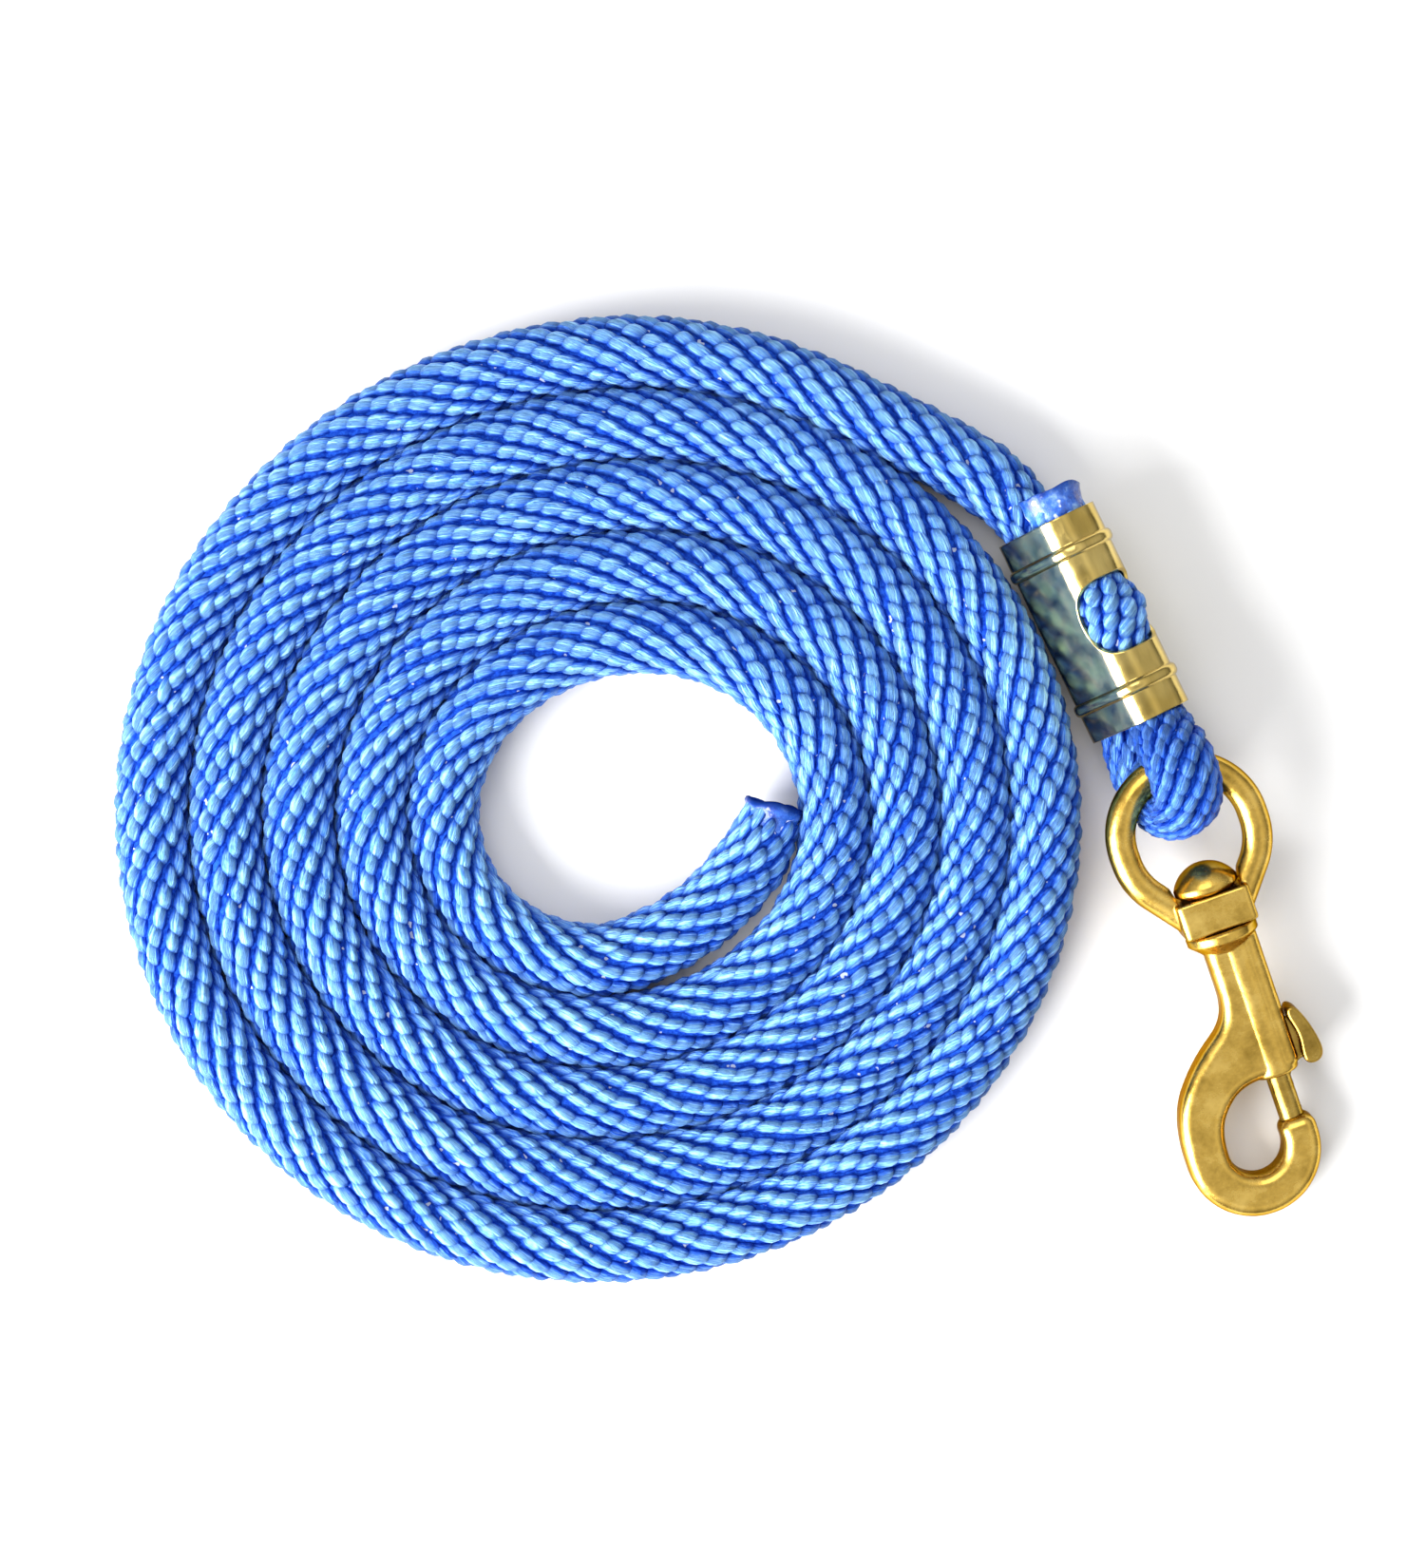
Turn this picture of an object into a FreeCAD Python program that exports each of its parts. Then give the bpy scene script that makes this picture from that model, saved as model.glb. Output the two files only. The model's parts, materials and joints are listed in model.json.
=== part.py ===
import FreeCAD, Part
import math
import os

from FreeCAD import Placement, Rotation, Vector

# A 3/4 inch lead rope for horses, lying coiled on a table. One end of the rope passes through the
# swivel eye of a bolt snap and is folded back on itself, and a sheet metal clamp holds the two legs.
# Millimetres, +Z up. z = 0 is the table. The snap lies along Y with its hook towards -Y.

doc = FreeCAD.newDocument("lead_rope")
sheet = doc.addObject("Spreadsheet::Sheet", "Sizes")

SIZES = [
    # The point where the rope bears on the ring's wire: all the hardware is placed from it.
    ("pull_x", 3.2, "middle of the ring's wire, under the rope loop"),
    ("pull_y", 22.75, ""),
    ("pull_z", 21.2, ""),
    ("snap_tilt", 8.17, "degrees, the snap leans down from the ring to the tip of its hook"),
    # Rope
    ("rope_radius", 9.5, "free rope, 3/4 inch"),
    ("loop_radius", 7.2, "rope pressed hard between the clamp and the ring"),
    ("tail_radius", 8.0, "melted end that stands out of the clamp"),
    ("tail_length", 7.0, ""),
    ("tail_round", 3.0, ""),
    ("tail_x", 8.1, "the stub's axis from the clamp's middle"),
    ("coil_x", -137.7, "middle of the coil's outline, from the pull point"),
    ("coil_y", 39.0, ""),
    ("coil_outer", 118.9, "about five turns side by side"),
    ("coil_hole_x", -130.2, "middle of the open centre, from the pull point"),
    ("coil_hole_y", 37.3, ""),
    ("coil_hole", 26.0, ""),
    ("coil_round", 8.5, "the turns' own roundness at the coil's edges"),
    # Clamp: X across the two legs, Y along the rope, Z through the flat sides, from its own middle
    ("clamp_x", -4.54, "middle of the clamp, from the pull point"),
    ("clamp_y", 40.3, ""),
    ("clamp_z", 16.2, "above the table"),
    ("clamp_yaw", 6.2, "degrees"),
    ("clamp_roll", 62.0, "degrees, the two legs lie one above the other"),
    ("clamp_length", 54.5, ""),
    ("clamp_width", 30.0, ""),
    ("clamp_depth", 17.0, ""),
    ("clamp_corner", 6.0, ""),
    ("clamp_sheet", 1.1, ""),
    ("bead_height", 0.9, ""),
    ("bead_width", 3.4, ""),
    ("bead_inset", 8.8, "middle of a bead from the clamp's end"),
    ("bead_round", 1.4, ""),
    ("window_radius", 10.1, "the punch that opens one narrow side"),
    ("window_bite", 7.0, "how far the window runs into the flat sides"),
    ("seam_gap", 0.5, "where the sheet's two edges meet"),
    ("bulge_x", 11.5, "rope standing out through the window: its middle"),
    ("bulge_along", 6.8, "half its length"),
    ("bulge_out", 5.5, ""),
    ("bulge_through", 8.9, ""),
    ("overcut", 1.0, "how far the cutting tools reach past the metal"),
    # Swivel eye: distances run down the snap from the pull point
    ("ring_radius", 16.85, "centreline of the wire"),
    ("wire_radius", 3.8, ""),
    ("ring_side", 1.85, "straight part of each side"),
    ("ring_foot", 38.0, "degrees, where the lower arcs leave for the collar"),
    ("leg_end", 39.5, "end of the ring's legs inside the collar"),
    ("collar_top", 32.6, ""),
    ("collar_base", 41.7, ""),
    ("collar_width", 19.0, ""),
    ("collar_depth", 15.4, ""),
    ("collar_round", 1.8, ""),
    ("collar_edge", 0.7, ""),
    ("collar_bore", 4.55, "radius, turns on the post"),
    ("head_room", 8.9, "radius cleared for the post's head inside the ring"),
    ("room_top", 18.7, "the cleared space starts here"),
    ("leg_trim", 10.0, "the wire's ends are trimmed over this length below the collar"),
    # Snap body
    ("post_radius", 4.5, ""),
    ("head_radius", 8.2, "the post's end is riveted over inside the ring"),
    ("head_top", 24.7, ""),
    ("head_edge", 2.2, "height of the head's straight rim"),
    ("head_bevel", 1.0, ""),
    ("head_gap", 0.3, "between the head or the shoulder and the collar"),
    ("shoulder_radius", 9.2, ""),
    ("shoulder_rim", 2.4, "height of the shoulder's rim"),
    ("shoulder_bevel", 0.6, ""),
    ("shoulder_foot", 47.5, ""),
    ("neck_radius", 7.0, "the shoulder narrows to this where it meets the shank"),
    ("neck_bevel", 1.0, ""),
    ("hook_thickness", 10.6, ""),
    ("hook_round", 3.0, ""),
    ("shank_left", -5.95, ""),
    ("shank_right", 8.0, ""),
    ("shank_top", 43.2, ""),
    ("shank_bend", 57.0, "the left side leaves the shank for the bow"),
    ("bow_x", -10.1, "centre of the hook's outer arc"),
    ("bow_down", 98.0, ""),
    ("bow_radius", 17.0, ""),
    ("eye_x", -9.4, "centre of the hook's inner arc"),
    ("eye_down", 97.6, ""),
    ("eye_radius", 7.0, ""),
    ("tip_down", 93.4, "top of the hook's tip"),
    ("barrel_base", 81.6, ""),
    ("barrel_radius", 5.9, ""),
    ("barrel_round", 1.2, ""),
    ("barrel_top", 46.0, ""),
    ("barrel_lip", 0.4, "the barrel's end stands this far below the plate's edge"),
    ("socket_radius", 3.35, "dimple in the tip that takes the bolt"),
    ("socket_depth", 0.9, ""),
    # Bolt and spring
    ("bolt_x", 1.85, "the bolt's axis, beside the swivel axis"),
    ("bolt_radius", 3.1, ""),
    ("bolt_top", 68.5, ""),
    ("bolt_end", 94.1, ""),
    ("bolt_round", 0.5, ""),
    ("bore_radius", 3.16, ""),
    ("bore_top", 49.0, ""),
    ("web_thickness", 3.0, "joins the thumb piece to the bolt through the slot"),
    ("web_top", 69.2, ""),
    ("web_foot", 84.0, ""),
    ("web_side", 9.8, ""),
    ("web_heel", 79.9, "the web curves in from here to the bolt"),
    ("web_land", 4.45, ""),
    ("slot_width", 3.5, ""),
    ("slot_top", 56.6, ""),
    ("slot_reach", 12.0, ""),
    ("thumb_width", 9.0, ""),
    ("thumb_round", 0.8, ""),
    ("spring_radius", 2.45, "middle of the spring's wire"),
    ("spring_wire", 0.3, "radius"),
    ("spring_pitch", 2.3, ""),
    ("spring_gap", 0.1, "play at each end"),
    ("spring_segment", 0.5, "turns in one piece of the helix"),
]

for row_number, (alias, value, note) in enumerate(SIZES, start=1):
    sheet.set(f"A{row_number}", alias)
    sheet.set(f"B{row_number}", str(value))
    sheet.setAlias(f"B{row_number}", alias)
    sheet.set(f"C{row_number}", note)
doc.recompute()


def size(alias):
    """The value of one cell of the sheet."""
    return float(sheet.get(alias))


PULL = Vector(size("pull_x"), size("pull_y"), size("pull_z"))
ALONG_Y = Rotation(Vector(1, 0, 0), -90)
SNAP_PLACE = Placement(PULL, Rotation(Vector(1, 0, 0), size("snap_tilt")))
CLAMP_PLACE = Placement(
    Vector(PULL.x + size("clamp_x"), PULL.y + size("clamp_y"), size("clamp_z")),
    Rotation(Vector(0, 0, 1), size("clamp_yaw")) * Rotation(Vector(0, 1, 0), -size("clamp_roll")),
)
parts = {}


# ---------------------------------------------------------------- helpers


def rod(name, radius, top, foot, across="0"):
    """A cylinder along Y between two distances down from the pull point."""
    item = doc.addObject("Part::Cylinder", name)
    item.Placement = Placement(Vector(), ALONG_Y)
    item.setExpression("Radius", radius)
    item.setExpression("Height", f"({foot}) - ({top})")
    item.setExpression("Placement.Base.x", across)
    item.setExpression("Placement.Base.y", f"-({foot})")
    return item


def block(name, width, length, depth):
    """A box about the origin: width on X, length on Y, depth on Z."""
    item = doc.addObject("Part::Box", name)
    for side, axis, formula in (("Length", "x", width), ("Width", "y", length), ("Height", "z", depth)):
        item.setExpression(side, formula)
        item.setExpression(f"Placement.Base.{axis}", f"-({formula}) / 2")
    return item


def rounded(name, base, radius, keep):
    """Fillets the edges of base for which keep(edge) is true."""
    doc.recompute()
    item = doc.addObject("Part::Fillet", name)
    item.Base = base
    chosen = [n for n, edge in enumerate(base.Shape.Edges, start=1) if keep(edge)]
    item.Edges = [(n, radius, radius) for n in chosen]
    return item


def fused(name, shapes):
    item = doc.addObject("Part::MultiFuse", name)
    item.Shapes = shapes
    item.Refine = True
    return item


def cut(name, base, tools):
    """Takes the tools away from base."""
    item = doc.addObject("Part::Cut", name)
    item.Base = base
    item.Tool = tools[0] if len(tools) == 1 else fused(name + "_tools", tools)
    return item


def sketch(name, edges):
    """A sketch on the XY plane that holds the given lines and arcs."""
    item = doc.addObject("Sketcher::SketchObject", name)
    for edge in edges:
        item.addGeometry(edge, False)
    return item


def finish(label, item, place):
    """Gives a sub-part its label, which names its file, and its place."""
    item.Label = label
    item.Placement = place
    parts[label] = item


def line(a, b):
    return Part.LineSegment(Vector(*a), Vector(*b))


def arc(centre, radius, start, end):
    """A counter-clockwise arc in the XY plane, its angles in degrees."""
    circle = Part.Circle(Vector(centre[0], centre[1], 0), Vector(0, 0, 1), radius)
    return Part.ArcOfCircle(circle, math.radians(start), math.radians(end))


def curve(poles, closed=False):
    """A cubic spline in the XY plane."""
    item = Part.BSplineCurve()
    item.buildFromPoles([Vector(*p) for p in poles], closed, 3)
    return item


def tube(label, radius_alias, points):
    """A rope as straight runs joined by tangent arcs; prints each bend and checks the volume."""
    points = [Vector(*p) for p in points]
    runs = [b - a for a, b in zip(points, points[1:])]
    edges = []
    here = points[0]
    radii = []
    for corner, before, after in zip(points[1:], runs, runs[1:]):
        half_turn = before.getAngle(after) / 2
        reach = 0.45 * min(before.Length, after.Length)
        radii.append(reach / math.tan(half_turn))
        back = Vector(before).normalize() * -reach
        onward = Vector(after).normalize() * reach
        inwards = (back + onward).normalize()
        middle = corner + inwards * radii[-1] * (1 / math.cos(half_turn) - 1)
        edges.append(Part.LineSegment(here, corner + back).toShape())
        edges.append(Part.Arc(corner + back, middle, corner + onward).toShape())
        here = corner + onward
    edges.append(Part.LineSegment(here, points[-1]).toShape())
    route = doc.addObject("Part::Feature", label + "_route")
    route.Shape = Part.Wire(edges)
    section = doc.addObject("Part::Circle", label + "_section")
    section.setExpression("Radius", "Sizes." + radius_alias)
    section.Placement = Placement(points[0], Rotation(Vector(0, 0, 1), runs[0]))
    item = doc.addObject("Part::Sweep", label + "_tube")
    item.Sections = [section]
    item.Spine = (route, [f"Edge{n}" for n in range(1, len(edges) + 1)])
    item.Solid = True
    item.Frenet = False
    doc.recompute()
    expected = math.pi * size(radius_alias) ** 2 * route.Shape.Length
    print(f"{label}: length {route.Shape.Length:.1f}, bend radii {[round(r, 1) for r in radii]},"
          f" volume {item.Shape.Volume / expected:.4f} of section times length")
    finish(label, item, Placement())


# ---------------------------------------------------------------- swivel eye


def swivel_eye():
    """A cast ring whose two sides run down into a square collar, bored for the snap's post."""
    radius = size("ring_radius")
    foot = size("ring_foot")
    upper = (0, -radius)
    lower = (0, -radius - size("ring_side"))
    slope = Vector(-math.sin(math.radians(foot)), -math.cos(math.radians(foot)))
    leave = Vector(radius * math.cos(math.radians(foot)), lower[1] - radius * math.sin(math.radians(foot)))
    leg = slope * ((size("leg_end") + leave.y) / -slope.y)
    path = sketch("ring_path", [
        line((-leave.x - leg.x, leave.y + leg.y), (-leave.x, leave.y)),
        arc(lower, radius, 180, 180 + foot),
        line((-radius, lower[1]), (-radius, upper[1])),
        arc(upper, radius, 0, 180),
        line((radius, upper[1]), (radius, lower[1])),
        arc(lower, radius, 360 - foot, 360),
        line((leave.x, leave.y), (leave.x + leg.x, leave.y + leg.y)),
    ])
    section = doc.addObject("Part::Circle", "ring_section")
    section.setExpression("Radius", "Sizes.wire_radius")
    section.Placement = Placement(
        Vector(-leave.x - leg.x, leave.y + leg.y), Rotation(Vector(0, 0, 1), Vector(leg.x, -leg.y)))
    ring = doc.addObject("Part::Sweep", "ring")
    ring.Sections = [section]
    ring.Spine = (path, [f"Edge{n}" for n in range(1, 8)])
    ring.Solid = True
    collar = block("collar_block", "Sizes.collar_width", "Sizes.collar_base - Sizes.collar_top",
                   "Sizes.collar_depth")
    collar.setExpression("Placement.Base.y", "-Sizes.collar_base")
    collar = rounded("collar_corners", collar, size("collar_round"), lambda e: abs(e.tangentAt(0).y) > 0.9)
    collar = rounded("collar", collar, size("collar_edge"), lambda e: e.BoundBox.YLength < 0.01)
    room = rod("room_for_head", "Sizes.head_room", "Sizes.room_top", "Sizes.collar_top")
    bore = rod("collar_hole", "Sizes.collar_bore", "Sizes.collar_top - Sizes.overcut",
               "Sizes.collar_base + Sizes.overcut")
    below = block("below_collar", "4 * Sizes.ring_radius", "Sizes.leg_trim", "Sizes.ring_radius")
    below.setExpression("Placement.Base.y", "-Sizes.collar_base - Sizes.leg_trim")
    body = fused("eye_casting", [cut("ring_with_room", ring, [room]), collar])
    finish("swivel_eye", cut("eye_bored", body, [bore, below]), SNAP_PLACE)


# ---------------------------------------------------------------- snap body


# Poles of the casting's two free curves, and where the throat's curve meets the barrel's flat end.
SHOULDER_POLES = [(-5.95, -64.5), (-12.5, -68.5), (-21.0, -76.0), (-27.1, -85.5)]
THROAT_POLES = [(-16.4, -90.5), (-12.0, -84.6), (-7.4, -81.6)]
THROAT_END = -1.5
# The plan's own corners are this much rounder than its edges, so that the edges' fillet fits.
CORNER_SPARE = 0.15


def hook_outline():
    """The outline of the casting in plan, clockwise from the top of the shank's left side."""
    left = size("shank_left")
    right = size("shank_right")
    top = -size("shank_top")
    bow = (size("bow_x"), -size("bow_down"))
    eye = (size("eye_x"), -size("eye_down"))
    corner = size("hook_round") + CORNER_SPARE
    outer = bow[0] + size("bow_radius")
    inner = eye[0] + size("eye_radius")
    tip = -size("tip_down")
    base = -size("barrel_base")

    bend = -size("shank_bend")
    shoulder = curve([(left, bend)] + SHOULDER_POLES + [(bow[0] - size("bow_radius"), bow[1])])
    throat = curve([(eye[0] - size("eye_radius"), eye[1])] + THROAT_POLES + [(THROAT_END, base)])
    return [
        line((left, top), (left, bend)),
        shoulder,
        arc(bow, size("bow_radius"), 180, 360),
        line((outer, bow[1]), (outer, tip - corner)),
        arc((outer - corner, tip - corner), corner, 0, 90),
        line((outer - corner, tip), (inner + corner, tip)),
        arc((inner + corner, tip - corner), corner, 90, 180),
        line((inner, tip - corner), (inner, eye[1])),
        arc(eye, size("eye_radius"), 180, 360),
        throat,
        line((THROAT_END, base), (right - corner, base)),
        arc((right - corner, base + corner), corner, 270, 360),
        line((right, base + corner), (right, top)),
        line((right, top), (left, top)),
    ]


def post_profile():
    """Half of the turned end, for a revolution about Y: shoulder, post and riveted head."""
    post = size("post_radius")
    head = size("head_radius")
    under_head = -size("collar_top") + size("head_gap")
    seat = -size("collar_base") - size("head_gap")
    rim = size("shoulder_radius")
    foot = -size("shoulder_foot")
    crown = -size("head_top")
    edge = under_head + size("head_edge")
    head_bevel = size("head_bevel")
    bevel = size("shoulder_bevel")
    neck = size("neck_radius")
    neck_bevel = size("neck_bevel")
    rise = crown - edge
    dome_radius = (head ** 2 + rise ** 2) / (2 * rise)
    dome_centre = crown - dome_radius
    halfway = math.asin(head / dome_radius) / 2
    rim_foot = seat - size("shoulder_rim")
    points = [
        (0, foot), (neck - neck_bevel, foot), (neck, foot + neck_bevel),
        (rim - bevel, rim_foot - bevel), (rim, rim_foot), (rim, seat - bevel), (rim - bevel, seat),
        (post, seat), (post, under_head),
        (head - head_bevel, under_head), (head, under_head + head_bevel), (head, edge),
    ]
    edges = [line(a, b) for a, b in zip(points, points[1:])]
    dome = Part.Arc(
        Vector(head, edge, 0),
        Vector(dome_radius * math.sin(halfway), dome_centre + dome_radius * math.cos(halfway), 0),
        Vector(0, crown, 0))
    return edges + [dome, line((0, crown), (0, foot))]


def snap_body():
    """The casting: hook, shank with the bolt's barrel, and the post that the eye turns on."""
    body = doc.addObject("PartDesign::Body", "casting")
    plane = next(f for f in body.Origin.OriginFeatures if f.Role == "XY_Plane")
    outline = body.newObject("Sketcher::SketchObject", "hook_outline")
    outline.AttachmentSupport = (plane, [""])
    outline.MapMode = "FlatFace"
    for edge in hook_outline():
        outline.addGeometry(edge, False)
    pad = body.newObject("PartDesign::Pad", "hook_plate")
    pad.Profile = outline
    pad.SideType = "Symmetric"
    pad.setExpression("Length", "Sizes.hook_thickness")
    doc.recompute()
    half = size("hook_thickness") / 2
    top = -size("shank_top")
    on_faces = [
        f"Edge{n}" for n, e in enumerate(pad.Shape.Edges, start=1)
        if abs(abs(e.CenterOfMass.z) - half) < 0.01 and abs(e.CenterOfMass.y - top) > 0.01
    ]
    fillet = body.newObject("PartDesign::Fillet", "hook_edges")
    fillet.Base = (pad, on_faces)
    fillet.setExpression("Radius", "Sizes.hook_round")
    body.Tip = fillet
    doc.recompute()

    barrel = rod("barrel_round", "Sizes.barrel_radius", "Sizes.barrel_top",
                 "Sizes.barrel_base + Sizes.barrel_lip", "Sizes.bolt_x")
    barrel_end = -size("barrel_base") - size("barrel_lip")
    barrel = rounded("barrel", barrel, size("barrel_round"), lambda e: e.CenterOfMass.y < barrel_end + 0.01)
    turned = doc.addObject("Part::Revolution", "post")
    turned.Source = sketch("post_profile", post_profile())
    turned.Axis = Vector(0, 1, 0)
    turned.Solid = True
    solid = fused("casting_with_post", [body, barrel, turned])
    bore = rod("bolt_bore", "Sizes.bore_radius", "Sizes.bore_top", "Sizes.barrel_base + Sizes.overcut",
               "Sizes.bolt_x")
    socket = rod("tip_socket", "Sizes.socket_radius", "Sizes.tip_down - Sizes.overcut",
                 "Sizes.tip_down + Sizes.socket_depth", "Sizes.bolt_x")
    slot = doc.addObject("Part::Box", "thumb_slot")
    slot.setExpression("Length", "Sizes.slot_reach")
    slot.setExpression("Width", "Sizes.barrel_base + Sizes.overcut - Sizes.slot_top")
    slot.setExpression("Height", "Sizes.slot_width")
    slot.setExpression("Placement.Base.x", "Sizes.bolt_x")
    slot.setExpression("Placement.Base.y", "-Sizes.barrel_base - Sizes.overcut")
    slot.setExpression("Placement.Base.z", "-Sizes.slot_width / 2")
    finish("snap_body", cut("snap_bored", solid, [bore, socket, slot]), SNAP_PLACE)


# ---------------------------------------------------------------- bolt and spring


# The thumb piece's closed outline and the middle point of the web's lower curve.
THUMB_POLES = [
    (8.2, -68.2), (9.0, -65.9), (11.2, -66.5), (13.1, -71.3), (14.3, -76.6), (14.4, -80.3),
    (12.3, -82.0), (9.4, -81.6), (8.9, -79.0), (9.8, -75.0), (9.2, -71.0),
]
WEB_CURVE = (6.4, -81.3)


def bolt():
    """The sliding bolt, its thumb piece outside the barrel and the web that joins them."""
    pin = rod("bolt_pin", "Sizes.bolt_radius", "Sizes.bolt_top", "Sizes.bolt_end", "Sizes.bolt_x")
    pin = rounded("bolt_pin_edges", pin, size("bolt_round"), lambda e: len(e.Vertexes) == 1)
    side = size("web_side")
    land = size("web_land")
    heel = -size("web_heel")
    x = size("bolt_x")
    top = -size("web_top")
    foot = -size("web_foot")
    web_sketch = sketch("web_outline", [
        line((x, top), (side, top)),
        line((side, top), (side, heel)),
        Part.Arc(Vector(side, heel), Vector(*WEB_CURVE), Vector(land, foot)),
        line((land, foot), (x, foot)),
        line((x, foot), (x, top)),
    ])
    thumb_sketch = sketch("thumb_outline", [curve(THUMB_POLES, closed=True)])
    solids = []
    for name, outline, width in (("web", web_sketch, "Sizes.web_thickness"),
                                 ("thumb_plate", thumb_sketch, "Sizes.thumb_width")):
        item = doc.addObject("Part::Extrusion", name)
        item.Base = outline
        item.DirMode = "Custom"
        item.Dir = Vector(0, 0, 1)
        item.Symmetric = True
        item.Solid = True
        item.setExpression("LengthFwd", width)
        solids.append(item)
    thumb = rounded("thumb_piece", solids[1], size("thumb_round"),
                    lambda e: abs(e.tangentAt(e.FirstParameter).z) < 0.1)
    finish("bolt", fused("bolt_with_thumb", [pin, solids[0], thumb]), SNAP_PLACE)


def spring():
    """A compression spring between the blind end of the bore and the bolt."""
    spare = size("spring_wire") + size("spring_gap")
    helix = doc.addObject("Part::Helix", "spring_line")
    helix.Placement = Placement(
        Vector(size("bolt_x"), -size("bolt_top") + spare, 0), ALONG_Y)
    helix.setExpression("Radius", "Sizes.spring_radius")
    helix.setExpression("Pitch", "Sizes.spring_pitch")
    helix.Height = size("bolt_top") - size("bore_top") - 2 * spare
    helix.SegmentLength = size("spring_segment")
    section = doc.addObject("Part::Circle", "spring_section")
    section.setExpression("Radius", "Sizes.spring_wire")
    doc.recompute()
    start = helix.Shape.Edges[0]
    section.Placement = Placement(
        start.valueAt(start.FirstParameter), Rotation(Vector(0, 0, 1), start.tangentAt(start.FirstParameter)))
    wire = doc.addObject("Part::Sweep", "spring_wire")
    wire.Sections = [section]
    wire.Spine = (helix, [f"Edge{n}" for n in range(1, len(helix.Shape.Edges) + 1)])
    wire.Solid = True
    wire.Frenet = True
    finish("spring", wire, SNAP_PLACE)


# ---------------------------------------------------------------- clamp


def sleeve(name, width, length, depth, corner, edge_round=0.0):
    """A rounded rectangle about the clamp's axis, its long edges rounded to corner."""
    item = block(name + "_block", width, length, depth)
    item = rounded(name, item, corner, lambda e: abs(e.tangentAt(0).y) > 0.9)
    if edge_round:
        item = rounded(name + "_crown", item, edge_round, lambda e: abs(e.CenterOfMass.y) > 1 and
                       e.BoundBox.YLength < 0.01)
    return item


def rope_clamp():
    """A sheet metal sleeve pressed on two legs of rope, with two beads, a window and a seam."""
    outer = sleeve("clamp_outside", "Sizes.clamp_width", "Sizes.clamp_length", "Sizes.clamp_depth",
                   size("clamp_corner"))
    beads = []
    for name, sign in (("upper_bead", 1), ("lower_bead", -1)):
        bead = sleeve(name, "Sizes.clamp_width + 2 * Sizes.bead_height", "Sizes.bead_width",
                      "Sizes.clamp_depth + 2 * Sizes.bead_height",
                      size("clamp_corner") + size("bead_height"), size("bead_round"))
        bead.Placement = Placement(
            Vector(0, sign * (size("clamp_length") / 2 - size("bead_inset")), 0), Rotation())
        beads.append(bead)
    inner = sleeve("clamp_inside", "Sizes.clamp_width - 2 * Sizes.clamp_sheet",
                   "Sizes.clamp_length + 2 * Sizes.overcut", "Sizes.clamp_depth - 2 * Sizes.clamp_sheet",
                   size("clamp_corner") - size("clamp_sheet"))
    window = doc.addObject("Part::Cylinder", "window_punch")
    window.setExpression("Radius", "Sizes.window_radius")
    window.setExpression("Height", "Sizes.clamp_depth + 2 * Sizes.overcut")
    window.setExpression(
        "Placement.Base.x", "Sizes.clamp_width / 2 - Sizes.window_bite + Sizes.window_radius")
    window.setExpression("Placement.Base.z", "-Sizes.clamp_depth / 2 - Sizes.overcut")
    seam = doc.addObject("Part::Box", "seam_slit")
    seam.setExpression("Length", "Sizes.clamp_corner")
    seam.setExpression("Width", "Sizes.clamp_length + 2 * Sizes.overcut")
    seam.setExpression("Height", "Sizes.seam_gap")
    seam.setExpression("Placement.Base.x", "-Sizes.clamp_width / 2 - Sizes.clamp_corner / 2")
    seam.setExpression("Placement.Base.y", "-Sizes.clamp_length / 2 - Sizes.overcut")
    seam.setExpression("Placement.Base.z", "-Sizes.seam_gap / 2")
    shell = fused("clamp_with_beads", [outer] + beads)
    finish("rope_clamp", cut("clamp_sheet_metal", shell, [inner, window, seam]), CLAMP_PLACE)


# ---------------------------------------------------------------- rope


def rope_in_clamp():
    """The two legs as the clamp presses them, with the bulge in its window."""
    filling = sleeve("pressed_legs", "Sizes.clamp_width - 2 * Sizes.clamp_sheet", "Sizes.clamp_length",
                     "Sizes.clamp_depth - 2 * Sizes.clamp_sheet",
                     size("clamp_corner") - size("clamp_sheet"))
    bulge = doc.addObject("Part::Ellipsoid", "window_bulge")
    bulge.setExpression("Radius1", "Sizes.bulge_through")
    bulge.setExpression("Radius2", "Sizes.bulge_out")
    bulge.setExpression("Radius3", "Sizes.bulge_along")
    bulge.setExpression("Placement.Base.x", "Sizes.bulge_x")
    finish("rope_in_clamp", fused("legs_in_clamp", [filling, bulge]), CLAMP_PLACE)


def rope_tail():
    """The short melted end of the rope, above the clamp on the upper leg's side."""
    stub = doc.addObject("Part::Cylinder", "tail_stub")
    stub.Placement = Placement(Vector(), ALONG_Y)
    stub.setExpression("Radius", "Sizes.tail_radius")
    stub.setExpression("Height", "Sizes.tail_length")
    stub.setExpression("Placement.Base.x", "Sizes.tail_x")
    stub.setExpression("Placement.Base.y", "Sizes.clamp_length / 2")
    far_end = size("clamp_length") / 2 + size("tail_length")
    stub = rounded("melted_end", stub, size("tail_round"), lambda e: e.CenterOfMass.y > far_end - 0.1)
    finish("rope_tail", stub, CLAMP_PLACE)


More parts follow.
